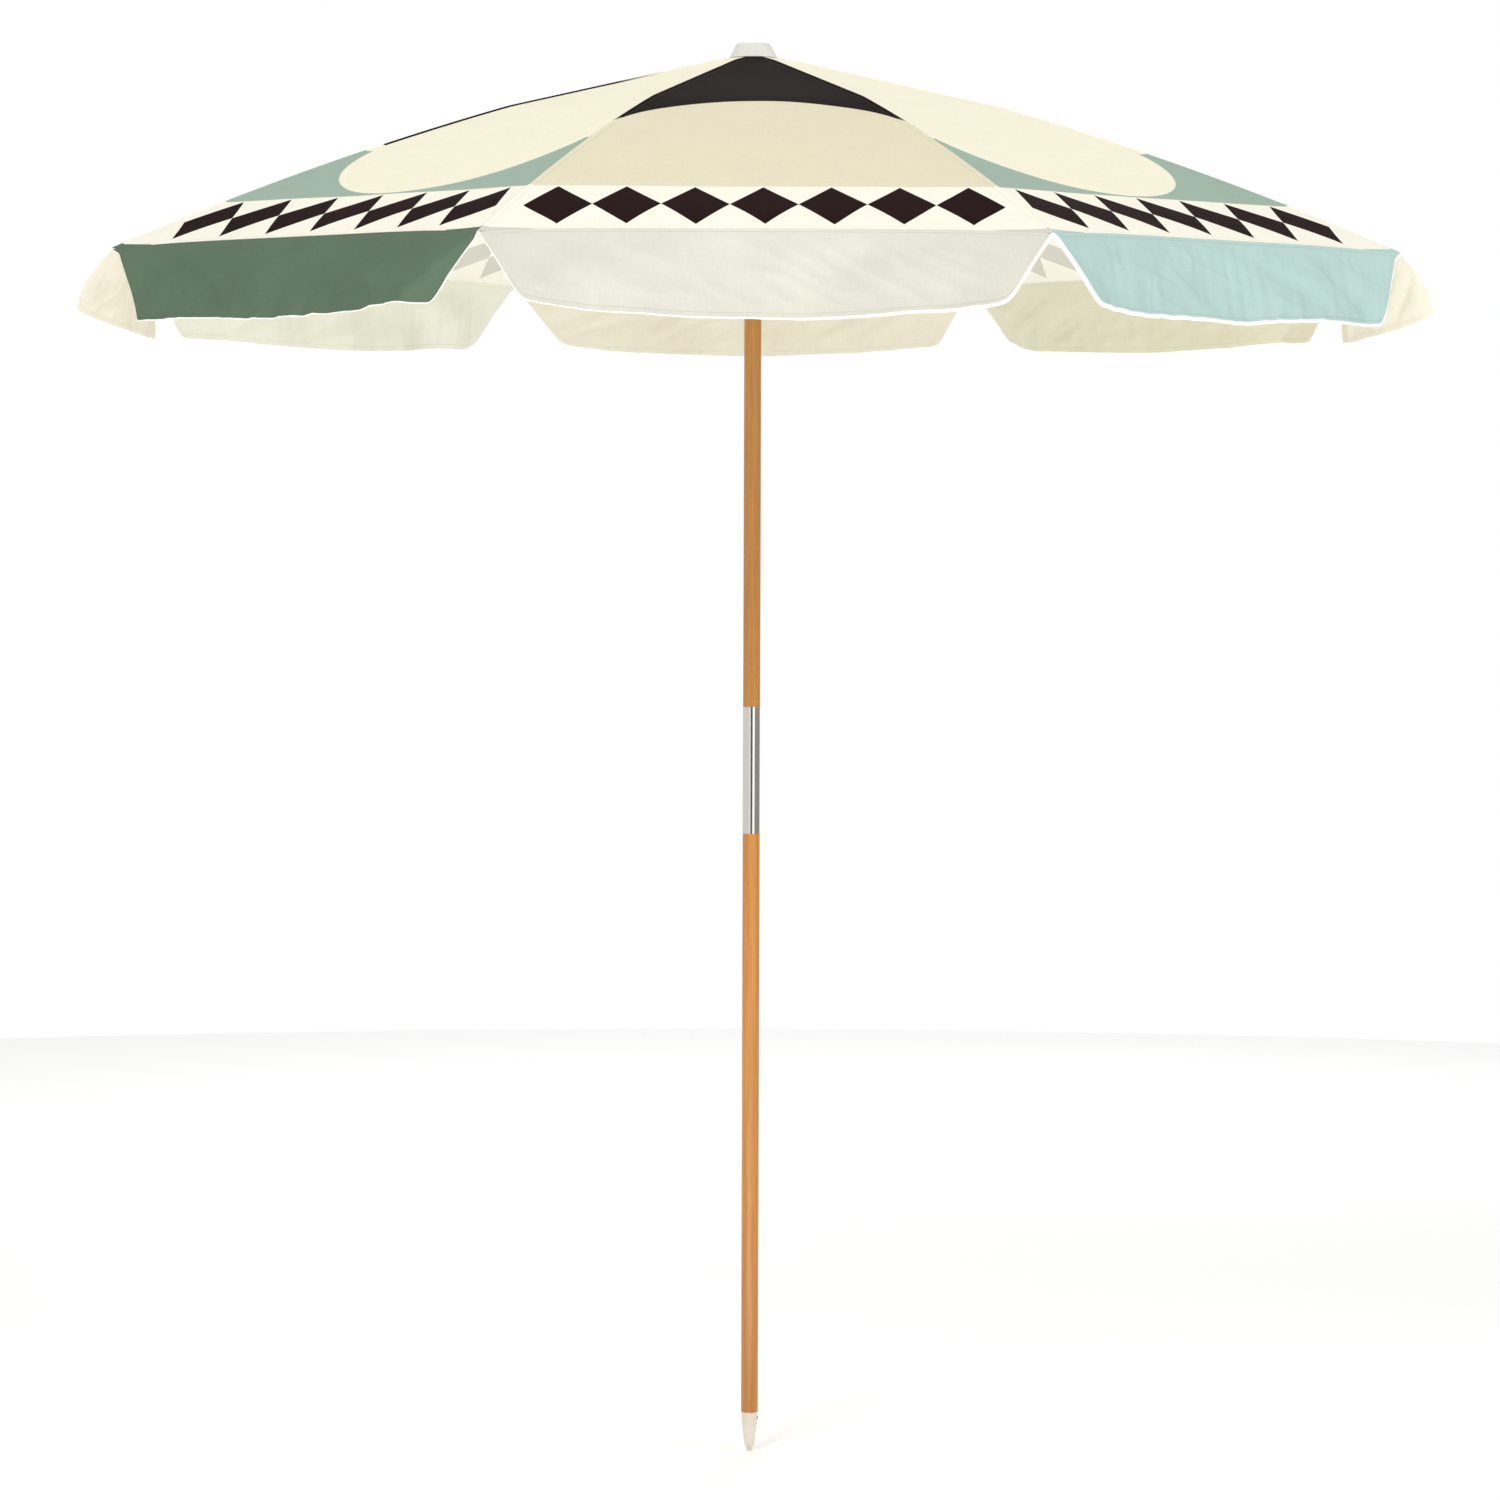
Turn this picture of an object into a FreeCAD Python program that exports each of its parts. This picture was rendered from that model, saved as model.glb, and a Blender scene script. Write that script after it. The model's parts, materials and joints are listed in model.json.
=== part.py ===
"""Beach umbrella: eight-rib canopy with a flap on each side, two-piece pole and ground spike.

Millimetres. Z is up, the tip of the spike is at Z 0 and the pole stands on the Z axis.
The canopy is modelled open. Each rib carries the cloth from one panel's middle to the next.
"""
import math
import os

import FreeCAD
import Part

V = FreeCAD.Vector

# Overall
RIBS = 8
PITCH = 360.0 / RIBS
HALF = math.radians(PITCH / 2)
FIRST_AZIMUTH = -90.0 - PITCH / 2
HEIGHT = 2300.0

# Pole
POLE_R = 14.0
SPIKE_TOP = 64.0
JOIN_Z = 1016.0
FERRULE_TOP = 1223.0
FERRULE_R = 14.4
FERRULE_BORE_R = 12.5
TENON_R = 12.3
LOWER_TENON = 95.0
UPPER_TENON = 102.0
POLE_TOP = 2262.0

# Ground spike: height and radius of each step, from the tip up
SPIKE_STEPS = [(0.0, 3.0), (3.0, 5.0), (8.0, 8.0), (16.0, 9.0), (24.0, 9.9), (33.0, 11.2), (44.0, 12.4)]
SPIKE_STEP_LIP = 0.7
SPIKE_SOCKET_R = 8.0
SPIKE_SOCKET_BOTTOM = 40.0
SPIKE_SCREW_Z = 54.0
SPIKE_SCREW_R = 1.6

# Cloth
CLOTH = 1.5
GAP = 0.3
RIDGE_START = 38.0
RIDGE_APEX = (41.0, 2276.4)
RIDGE_BEND = (425.0, 2185.0)
RIDGE_MIDDLE = (646.6, 2114.0)
RIDGE_END = (1080.4, 1945.2)

# Flap that hangs from the edge of each panel
FLAP_LENGTH = 150.0
FLAP_FLARE = math.radians(33.0)
FLAP_HEM = 8.0
FLAP_SIDE_IN = 30.0
FLAP_CORNER_R = 60.0

# Ribs and stretchers
RIB_R = 2.5
RIB_DROP = 6.5
RIB_SWAGE = 0.4
RIB_LAST_R = 1066.0
TIP_R = 3.5
TIP_LENGTH = 14.0
STRETCHER_R = 2.0
EYE_R = 4.0
EYE_THICK = 4.0
EYE_HOLE_R = 1.45
PIVOT_R = 30.0
RING_R = 1.2
SLOT = 5.6
SLOT_INNER = 22.0
BRACKET_AT = 398.0
BRACKET_DROP = 9.0
BRACKET_LENGTH = 12.0
BRACKET_WALL = 1.5
BRACKET_PIN_R = 1.5

# Crown
HUB_R = 34.5
HUB_SLEEVE_R = 19.0
HUB_BOTTOM = 2236.0
CAP_BOTTOM = 2277.3
CAP_BOTTOM_R = 39.5
CAP_TOP_R = 27.5
CAP_WALL = 2.8
CAP_BOSS_R = 8.0
CAP_SCREW_R = 2.0
CAP_SCREW_HEAD_R = 4.2
CAP_SCREW_END = 2235.0

# Runner and its catch
RUNNER_BORE_R = 14.4
RUNNER_R = 18.5
RUNNER_FLANGE = 6.0
RUNNER_LENGTH = 50.0
RUNNER_GRIP_R = 22.0
CATCH_HEIGHT = 38.0
CATCH_WIDTH = 4.0
CATCH_THICK = 1.2
CATCH_OUT = 3.0
CATCH_POCKET = (5.0, 7.5)

# Worked out
SLOPE = math.atan2(RIDGE_APEX[1] - RIDGE_BEND[1], RIDGE_BEND[0] - RIDGE_APEX[0])
HUB_Z = RIDGE_APEX[1] + (RIDGE_APEX[0] - PIVOT_R) * math.tan(SLOPE) - RIB_DROP
LINK = math.hypot(BRACKET_AT, BRACKET_DROP)
LINK_SLOPE = SLOPE + math.atan2(BRACKET_DROP, BRACKET_AT)
RUNNER_Z = HUB_Z - 2 * LINK * math.sin(LINK_SLOPE)
CATCH_TOP = RUNNER_Z - RUNNER_LENGTH - 0.5
CATCH_PIVOT_Z = CATCH_TOP - CATCH_HEIGHT


def cylinder(radius, bottom, top):
    """Upright cylinder on the Z axis."""
    return Part.makeCylinder(radius, top - bottom, V(0, 0, bottom))


def across(radius, length, x, z):
    """Cylinder along Y, centred on Y 0."""
    return Part.makeCylinder(radius, length, V(x, -length / 2, z), V(0, 1, 0))


def rod(radius, start, end):
    """Round rod between two (x, z) points in the XZ plane."""
    a, b = V(start[0], 0, start[1]), V(end[0], 0, end[1])
    return Part.makeCylinder(radius, (b - a).Length, a, b - a)


def turned(shape, angle):
    """Copy turned about the Z axis, in degrees."""
    copy = shape.copy()
    copy.rotate(V(0, 0, 0), V(0, 0, 1), angle)
    return copy


def revolved(points):
    """Solid of revolution about Z from (radius, z) points that start and end on the axis."""
    wire = Part.makePolygon([V(r, 0, z) for r, z in points + points[:1]])
    return Part.Face(wire).revolve(V(0, 0, 0), V(0, 0, 1), 360)


def ring(z, radius):
    """Wire ring that the rod ends turn on."""
    return Part.makeTorus(PIVOT_R, radius, V(0, 0, z), V(0, 0, 1))


def rib_slots(bottom, top):
    """Radial slots for the rod ends, one for each rib."""
    depth = HUB_R + 5 - SLOT_INNER
    slot = Part.makeBox(depth, SLOT, top - bottom, V(SLOT_INNER, -SLOT / 2, bottom))
    return [turned(slot, FIRST_AZIMUTH + PITCH * i) for i in range(RIBS)]


def along_rib(distance, drop=0.0):
    """(x, z) at a distance along the straight part of a rib and a drop square to it."""
    return (
        PIVOT_R + distance * math.cos(SLOPE) - drop * math.sin(SLOPE),
        HUB_Z - distance * math.sin(SLOPE) - drop * math.cos(SLOPE),
    )


def ridge_arc(scale=1.0, drop=0.0):
    """Outer part of the ridge line, with its radius scaled and its height dropped."""
    points = [V(p[0] * scale, 0, p[1] - drop) for p in (RIDGE_BEND, RIDGE_MIDDLE, RIDGE_END)]
    return Part.Arc(*points)


def make_lower_pole():
    body = cylinder(POLE_R, SPIKE_TOP, JOIN_Z)
    body = body.fuse(cylinder(TENON_R, JOIN_Z, JOIN_Z + LOWER_TENON))
    body = body.fuse(cylinder(SPIKE_SOCKET_R, SPIKE_SOCKET_BOTTOM, SPIKE_TOP))
    hole = Part.makeCylinder(SPIKE_SCREW_R, 20, V(2, 0, SPIKE_SCREW_Z), V(1, 0, 0))
    return body.cut(hole).removeSplitter()


def make_spike():
    points = [(0.0, 0.0)]
    for (z, r), (z_next, _) in zip(SPIKE_STEPS, SPIKE_STEPS[1:] + [(SPIKE_TOP, 0.0)]):
        points += [(r, z), (r + SPIKE_STEP_LIP, z_next - 1.0), (r + SPIKE_STEP_LIP, z_next)]
    points.append((0.0, SPIKE_TOP))
    body = revolved(points)
    body = body.cut(cylinder(SPIKE_SOCKET_R, SPIKE_SOCKET_BOTTOM, SPIKE_TOP + 1))
    hole = Part.makeCylinder(SPIKE_SCREW_R, 20, V(2, 0, SPIKE_SCREW_Z), V(1, 0, 0))
    head = Part.makeCylinder(3.0, 10, V(12.0, 0, SPIKE_SCREW_Z), V(1, 0, 0))
    return body.cut(hole).cut(head)


def make_spike_screw():
    shank = Part.makeCylinder(SPIKE_SCREW_R, 10, V(2, 0, SPIKE_SCREW_Z), V(1, 0, 0))
    head = Part.makeCylinder(3.0, 1.6, V(12.0, 0, SPIKE_SCREW_Z), V(1, 0, 0))
    slot = Part.makeBox(1.0, 8, 0.8, V(13.0, -4, SPIKE_SCREW_Z - 0.4))
    return shank.fuse(head).cut(slot).removeSplitter()


def make_upper_pole():
    body = cylinder(POLE_R, FERRULE_TOP, POLE_TOP)
    body = body.fuse(cylinder(FERRULE_BORE_R, FERRULE_TOP - UPPER_TENON, FERRULE_TOP))
    body = body.cut(cylinder(CAP_SCREW_R, CAP_SCREW_END, POLE_TOP + 1))
    width, depth = CATCH_POCKET
    height = CATCH_HEIGHT + 10
    pocket = Part.makeBox(width, depth + 5, height, V(-width / 2, -POLE_R - 5, CATCH_PIVOT_Z - 5))
    return body.cut(pocket).removeSplitter()


def make_ferrule():
    return cylinder(FERRULE_R, JOIN_Z, FERRULE_TOP).cut(cylinder(FERRULE_BORE_R, JOIN_Z, FERRULE_TOP))


def make_hub():
    body = cylinder(HUB_R, POLE_TOP, CAP_BOTTOM).fuse(cylinder(HUB_SLEEVE_R, HUB_BOTTOM, POLE_TOP))
    body = body.cut(cylinder(POLE_R, HUB_BOTTOM - 1, POLE_TOP))
    body = body.cut(cylinder(CAP_SCREW_R, HUB_BOTTOM, HEIGHT))
    for slot in rib_slots(HUB_BOTTOM, HEIGHT):
        body = body.cut(slot)
    return body.cut(ring(HUB_Z, RING_R))


def make_cap():
    outside = Part.makeCone(CAP_BOTTOM_R, CAP_TOP_R, HEIGHT - CAP_BOTTOM, V(0, 0, CAP_BOTTOM))
    roof = HEIGHT - CAP_WALL
    inside = Part.makeCone(
        CAP_BOTTOM_R - CAP_WALL, CAP_TOP_R - CAP_WALL, roof - CAP_BOTTOM, V(0, 0, CAP_BOTTOM)
    )
    body = outside.cut(inside).fuse(cylinder(CAP_BOSS_R, CAP_BOTTOM, roof))
    body = body.cut(cylinder(CAP_SCREW_R, CAP_BOTTOM - 1, HEIGHT))
    sink = Part.makeCone(CAP_SCREW_R, CAP_SCREW_HEAD_R, 2.4, V(0, 0, HEIGHT - 2.4))
    return body.cut(sink).removeSplitter()


def make_cap_screw():
    head = Part.makeCone(CAP_SCREW_R, CAP_SCREW_HEAD_R, 2.4, V(0, 0, HEIGHT - 2.4))
    body = head.fuse(cylinder(CAP_SCREW_R, CAP_SCREW_END, HEIGHT - 2.4))
    for angle in (45, 135):
        cross = Part.makeBox(5, 0.9, 1.2, V(-2.5, -0.45, HEIGHT - 1.2))
        body = body.cut(turned(cross, angle))
    return body.removeSplitter()


def make_runner():
    bottom, top = RUNNER_Z - RUNNER_LENGTH, RUNNER_Z + RUNNER_FLANGE
    body = cylinder(RUNNER_R, bottom, top)
    body = body.fuse(cylinder(HUB_R, RUNNER_Z - RUNNER_FLANGE, top))
    body = body.fuse(cylinder(RUNNER_GRIP_R, bottom, bottom + 6))
    body = body.cut(cylinder(RUNNER_BORE_R, bottom - 1, top + 1))
    for slot in rib_slots(RUNNER_Z - RUNNER_FLANGE - 1, top + 1):
        body = body.cut(slot)
    return body.cut(ring(RUNNER_Z, RING_R)).removeSplitter()


def make_catch():
    """Spring leaf in a pocket of the pole. It turns in at its lower end so that the runner can pass."""
    face = -POLE_R
    leaf = Part.makeBox(CATCH_WIDTH, CATCH_THICK, CATCH_HEIGHT, V(-CATCH_WIDTH / 2, face, CATCH_PIVOT_Z))
    wedge = Part.makePolygon([
        V(-CATCH_WIDTH / 2, face, CATCH_TOP - 20), V(-CATCH_WIDTH / 2, face - CATCH_OUT, CATCH_TOP - 2),
        V(-CATCH_WIDTH / 2, face - CATCH_OUT, CATCH_TOP), V(-CATCH_WIDTH / 2, face, CATCH_TOP),
        V(-CATCH_WIDTH / 2, face, CATCH_TOP - 20),
    ])
    body = leaf.fuse(Part.Face(wedge).extrude(V(CATCH_WIDTH, 0, 0)))
    knuckle = Part.makeCylinder(1.6, CATCH_WIDTH, V(-CATCH_WIDTH / 2, face + 1.6, CATCH_PIVOT_Z), V(1, 0, 0))
    return body.fuse(knuckle).removeSplitter()


def make_rib():
    bend = (RIDGE_BEND[0], RIDGE_BEND[1] - RIB_DROP)
    body = rod(RIB_R, (PIVOT_R, HUB_Z), bend)
    body = body.fuse(across(EYE_R, EYE_THICK, PIVOT_R, HUB_Z))
    arc = ridge_arc(1.0, RIB_DROP)
    near_end = V(RIB_LAST_R, 0, RIDGE_END[1] - RIB_DROP + (RIDGE_END[0] - RIB_LAST_R) * math.tan(SLOPE))
    path = Part.Edge(arc, arc.FirstParameter, arc.parameter(near_end))
    start = path.valueAt(path.FirstParameter)
    profile = Part.Face(Part.Wire(Part.makeCircle(RIB_R, start, path.tangentAt(path.FirstParameter))))
    bowed = profile.revolve(path.Curve.Center, V(0, 1, 0), math.degrees(path.Length / path.Curve.Radius))
    body = body.fuse(Part.makeSphere(RIB_R + RIB_SWAGE, V(bend[0], 0, bend[1]))).fuse(bowed)
    return body.cut(across(EYE_HOLE_R, 20, PIVOT_R, HUB_Z)), path


def make_tip(path):
    """Rounded cap on the outer end of a rib, bored to take the rod."""
    end = path.valueAt(path.LastParameter)
    way = path.tangentAt(path.LastParameter)
    start = end - way * (TIP_LENGTH - 6)
    body = Part.makeCylinder(TIP_R, TIP_LENGTH - TIP_R, start, way)
    body = body.fuse(Part.makeSphere(TIP_R, start + way * (TIP_LENGTH - TIP_R)))
    return body.removeSplitter()


def make_bracket():
    """Collar on the rib with two cheeks and the pin that the stretcher turns on."""
    centre = along_rib(BRACKET_AT)
    way = V(math.cos(SLOPE), 0, -math.sin(SLOPE))
    down = V(-math.sin(SLOPE), 0, -math.cos(SLOPE))
    outer = RIB_R + BRACKET_WALL
    middle = V(centre[0], 0, centre[1])
    start = middle - way * (BRACKET_LENGTH / 2)
    body = Part.makeCylinder(outer, BRACKET_LENGTH, start, way)
    for side in (-1, 1):
        corner = start + V(0, side * RIB_R, 0)
        cheek = Part.Face(Part.makePolygon([
            corner, corner + way * BRACKET_LENGTH,
            corner + way * (BRACKET_LENGTH - 1) + down * (BRACKET_DROP + 4),
            corner + way + down * (BRACKET_DROP + 4), corner,
        ]))
        body = body.fuse(cheek.extrude(V(0, side * BRACKET_WALL, 0)))
    body = body.cut(Part.makeCylinder(RIB_R, BRACKET_LENGTH + 2, start - way, way))
    pivot = along_rib(BRACKET_AT, BRACKET_DROP)
    return body.fuse(across(BRACKET_PIN_R, 2 * outer + 1, *pivot)).removeSplitter()


def make_stretcher():
    outer, inner = along_rib(BRACKET_AT, BRACKET_DROP), (PIVOT_R, RUNNER_Z)
    body = rod(STRETCHER_R, outer, inner)
    body = body.fuse(across(EYE_R - 0.4, EYE_THICK, *outer)).fuse(across(EYE_R, EYE_THICK, *inner))
    body = body.cut(across(BRACKET_PIN_R + 0.2, 20, *outer))
    return body.cut(across(EYE_HOLE_R, 20, *inner)).removeSplitter()


def both_sides(half):
    """Turns a half made from a panel's middle to its rib, so that the rib is on +X, and adds its mirror."""
    near = turned(half, -math.degrees(HALF))
    return near.fuse(near.mirror(V(0, 0, 0), V(0, 1, 0))).removeSplitter()


def make_cloth():
    """Cloth over one rib, out to the middle of the panel on each side."""
    k = math.cos(HALF)
    slope = math.tan(SLOPE)
    inner = (RIDGE_START * k, RIDGE_APEX[1] + (RIDGE_APEX[0] - RIDGE_START) * slope)
    bend, end = (RIDGE_BEND[0] * k, RIDGE_BEND[1]), (RIDGE_END[0] * k, RIDGE_END[1])
    outside = [Part.makeLine(V(inner[0], 0, inner[1]), V(bend[0], 0, bend[1])), ridge_arc(k).toShape()]
    inside = [Part.makeLine(V(inner[0], 0, inner[1] - CLOTH), V(bend[0], 0, bend[1] - CLOTH)),
              ridge_arc(k, CLOTH).toShape()]
    ends = [Part.makeLine(V(p[0], 0, p[1]), V(p[0], 0, p[1] - CLOTH)) for p in (inner, end)]
    edges = Part.__sortEdges__(outside + inside + ends)
    sheet = Part.Face(Part.Wire(edges)).extrude(V(0, RIDGE_END[0], 0))
    reach, start = RIDGE_END[0] + 50, GAP / 2 / math.tan(HALF)
    wedge = Part.Face(Part.makePolygon([
        V(start, GAP / 2, 1000), V(reach, GAP / 2, 1000), V(reach, reach * math.tan(HALF), 1000),
        V(start, GAP / 2, 1000),
    ]))
    return both_sides(sheet.common(wedge.extrude(V(0, 0, 2000))))


def make_flaps():
    """The halves of two neighbouring flaps, joined by the hem that is sewn to the cloth over one rib."""
    edge = RIDGE_END[0] * math.cos(HALF)
    top = RIDGE_END[1] - CLOTH - 0.1

    def at(down, side):
        return V(edge + down * math.sin(FLAP_FLARE), side, top - down * math.cos(FLAP_FLARE))

    def rib_side(down):
        return (edge + down * math.sin(FLAP_FLARE)) * math.tan(HALF)

    round_start = FLAP_LENGTH - FLAP_CORNER_R
    side = rib_side(0) - FLAP_SIDE_IN
    turn = FLAP_CORNER_R * (1 - math.sqrt(0.5))
    corner = Part.Arc(
        at(round_start, side), at(FLAP_LENGTH - turn, side - turn), at(FLAP_LENGTH, side - FLAP_CORNER_R)
    ).toShape()
    points = [
        at(FLAP_LENGTH, side - FLAP_CORNER_R), at(FLAP_LENGTH, GAP / 2), at(0, GAP / 2),
        at(0, rib_side(0)), at(FLAP_HEM, rib_side(FLAP_HEM)), at(round_start, side),
    ]
    lines = [Part.makeLine(a, b) for a, b in zip(points, points[1:])]
    face = Part.Face(Part.Wire(Part.__sortEdges__(lines + [corner])))
    inward = V(-math.cos(FLAP_FLARE), 0, -math.sin(FLAP_FLARE)) * CLOTH
    half = face.extrude(inward)
    reach = RIDGE_END[0] * 2
    wedge = Part.Face(Part.makePolygon([
        V(0, 0, 1000), V(reach, 0, 1000), V(reach, reach * math.tan(HALF), 1000), V(0, 0, 1000),
    ])).extrude(V(0, 0, 2000))
    return both_sides(half.common(wedge))


def save(name, shape):
    """Writes one node, after a check that it is one sound solid."""
    solid = shape.Solids[0]
    assert len(shape.Solids) == 1 and solid.isValid(), f"{name}: {len(shape.Solids)} solids"
    solid.exportStep(f"parts/{name}.step")


def main():
    os.makedirs("parts", exist_ok=True)
    rib, path = make_rib()
    single = {
        "lower_pole": make_lower_pole(),
        "ground_spike": make_spike(),
        "spike_screw": make_spike_screw(),
        "upper_pole": make_upper_pole(),
        "ferrule": make_ferrule(),
        "crown_hub": make_hub(),
        "crown_ring": ring(HUB_Z, RING_R),
        "crown_cap": make_cap(),
        "cap_screw": make_cap_screw(),
        "runner": make_runner(),
        "runner_ring": ring(RUNNER_Z, RING_R),
        "runner_catch": make_catch(),
    }
    tip = make_tip(path)
    each = {
        "rib": rib.cut(tip),
        "rib_tip": tip,
        "rib_bracket": make_bracket(),
        "stretcher": make_stretcher(),
        "canopy": make_cloth(),
        "valance": make_flaps(),
    }
    for name, shape in single.items():
        save(name, shape)
    for name, shape in each.items():
        for i in range(RIBS):
            save(f"{name}_{i + 1}", turned(shape, FIRST_AZIMUTH + PITCH * i))
    link = {"hub_z": HUB_Z, "runner_z": RUNNER_Z, "link": LINK, "link_slope_deg": math.degrees(LINK_SLOPE)}
    for name, value in link.items():
        print(f"{name} {value:.3f}")
    print(f"bracket pivot {along_rib(BRACKET_AT, BRACKET_DROP)}")
    print(f"catch top {CATCH_TOP:.2f} pivot {CATCH_PIVOT_Z:.2f}")


main()
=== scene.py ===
"""Beach umbrella: printed cloth, flaps, piping and finishes on the CAD frame. Metres, Z up, front is -Y."""
import json
import math
from collections import namedtuple

import bmesh
import bpy
from mathutils import Matrix, Vector, noise

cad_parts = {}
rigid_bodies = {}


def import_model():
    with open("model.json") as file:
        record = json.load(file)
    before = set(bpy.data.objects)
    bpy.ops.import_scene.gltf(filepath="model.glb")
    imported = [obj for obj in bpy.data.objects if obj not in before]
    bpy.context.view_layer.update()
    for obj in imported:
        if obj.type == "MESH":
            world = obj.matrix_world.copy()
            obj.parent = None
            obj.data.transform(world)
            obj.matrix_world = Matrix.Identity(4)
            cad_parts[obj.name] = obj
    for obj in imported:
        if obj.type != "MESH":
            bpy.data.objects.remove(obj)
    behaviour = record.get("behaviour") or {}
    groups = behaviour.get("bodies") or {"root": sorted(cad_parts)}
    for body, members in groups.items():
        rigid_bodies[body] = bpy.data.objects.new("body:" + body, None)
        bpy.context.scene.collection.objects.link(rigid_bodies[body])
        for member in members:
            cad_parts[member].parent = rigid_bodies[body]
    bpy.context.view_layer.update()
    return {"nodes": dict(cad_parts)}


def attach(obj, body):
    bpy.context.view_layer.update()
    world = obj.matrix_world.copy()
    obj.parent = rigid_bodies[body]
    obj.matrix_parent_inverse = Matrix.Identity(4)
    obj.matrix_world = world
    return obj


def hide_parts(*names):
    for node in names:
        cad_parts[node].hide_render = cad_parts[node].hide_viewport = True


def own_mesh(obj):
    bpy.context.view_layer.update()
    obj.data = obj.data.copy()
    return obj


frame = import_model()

# ---------------------------------------------------------------- dimensions
RIBS = 8
HALF = math.radians(22.5)                 # half a panel, seen from above
SIN, COS = math.sin(HALF), math.cos(HALF)
PIVOT_R, HUB_Z = 0.030, 2.272518          # where a rib turns in the crown
FOLD = math.radians(70.0)                 # how far a rib turns when the umbrella is shut
# (radius, height) of the cloth's outer face over a rib: by the cap, where the bend starts, half way, at the edge
CROWN_R, CROWN_Z = 0.041, 2.2764
BEND_R, BEND_Z = 0.425, 2.1850
MID_R, MID_Z = 0.6466, 2.1140
EDGE_R, EDGE_Z = 1.0804, 1.9452
START_R = 0.0385                          # where the cloth starts, under the cap
CLOTH = 0.0009                            # thickness of the cloth
PLEAT_GAP = {"canopy": 0.0023, "flap": 0.0011, "piping": 0.0003}   # from a pleat's face to its middle, when shut
CHORD = EDGE_R * SIN                      # half the length of a panel's edge
CONCAVE = 0.028                           # how far the middle of a panel's edge is pulled in
LIFT, LIFT_R, LIFT_OVER = 0.0075, 0.86, 0.20   # rise of that edge over the line between the ribs, and where it grows
FLAP_S, FLAP_BOW = 0.131, 0.012           # how far a flap hangs in its middle, and how much less at its ends
FLAP_ROUND = 0.012                        # rounding of a flap's corners


def circle_through(a, b, c):
    """Centre and radius of the circle through three (x, y) points."""
    ax, ay, bx, by, cx, cy = *a, *b, *c
    d = 2 * (ax * (by - cy) + bx * (cy - ay) + cx * (ay - by))
    ux = ((ax**2 + ay**2) * (by - cy) + (bx**2 + by**2) * (cy - ay) + (cx**2 + cy**2) * (ay - by)) / d
    uy = ((ax**2 + ay**2) * (cx - bx) + (bx**2 + by**2) * (ax - cx) + (cx**2 + cy**2) * (bx - ax)) / d
    return ux, uy, math.hypot(ax - ux, ay - uy)


ARC = circle_through((BEND_R, BEND_Z), (MID_R, MID_Z), (EDGE_R, EDGE_Z))


def ridge(r):
    """Height of the cloth's outer face over a rib, at a radius."""
    if r <= BEND_R:
        return CROWN_Z - (r - CROWN_R) * (CROWN_Z - BEND_Z) / (BEND_R - CROWN_R)
    return ARC[1] + math.sqrt(ARC[2] ** 2 - (r - ARC[0]) ** 2)


def smooth(x):
    """0 up to 0, 1 from 1, and an easy curve between."""
    x = min(1.0, max(0.0, x))
    return x * x * (3 - 2 * x)


def drawn_in(r, share):
    """How far a panel's cloth is pulled in towards the pole, at a radius and a share of the way to the rib."""
    return CONCAVE * (r / EDGE_R) ** 0.6 * smooth((r - START_R) / 0.2) * (1 - share * share)


def lifted(r, share):
    """How far the cloth near the edge stands above the cone through the ribs."""
    return LIFT * smooth((r - LIFT_R) / LIFT_OVER) * (1 - share**4)


def softplus(x, width):
    """0 well below 0, x well above it, rounded over the width."""
    t = x / width
    return x if t > 30 else width * math.log1p(math.exp(t))


# ---------------------------------------------------------------- materials
def srgb(r, g, b):
    """Linear colour from display values of 0 to 255."""
    def lin(v):
        v /= 255.0
        return v / 12.92 if v <= 0.04045 else ((v + 0.055) / 1.055) ** 2.4
    return (lin(r), lin(g), lin(b), 1.0)


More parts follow.
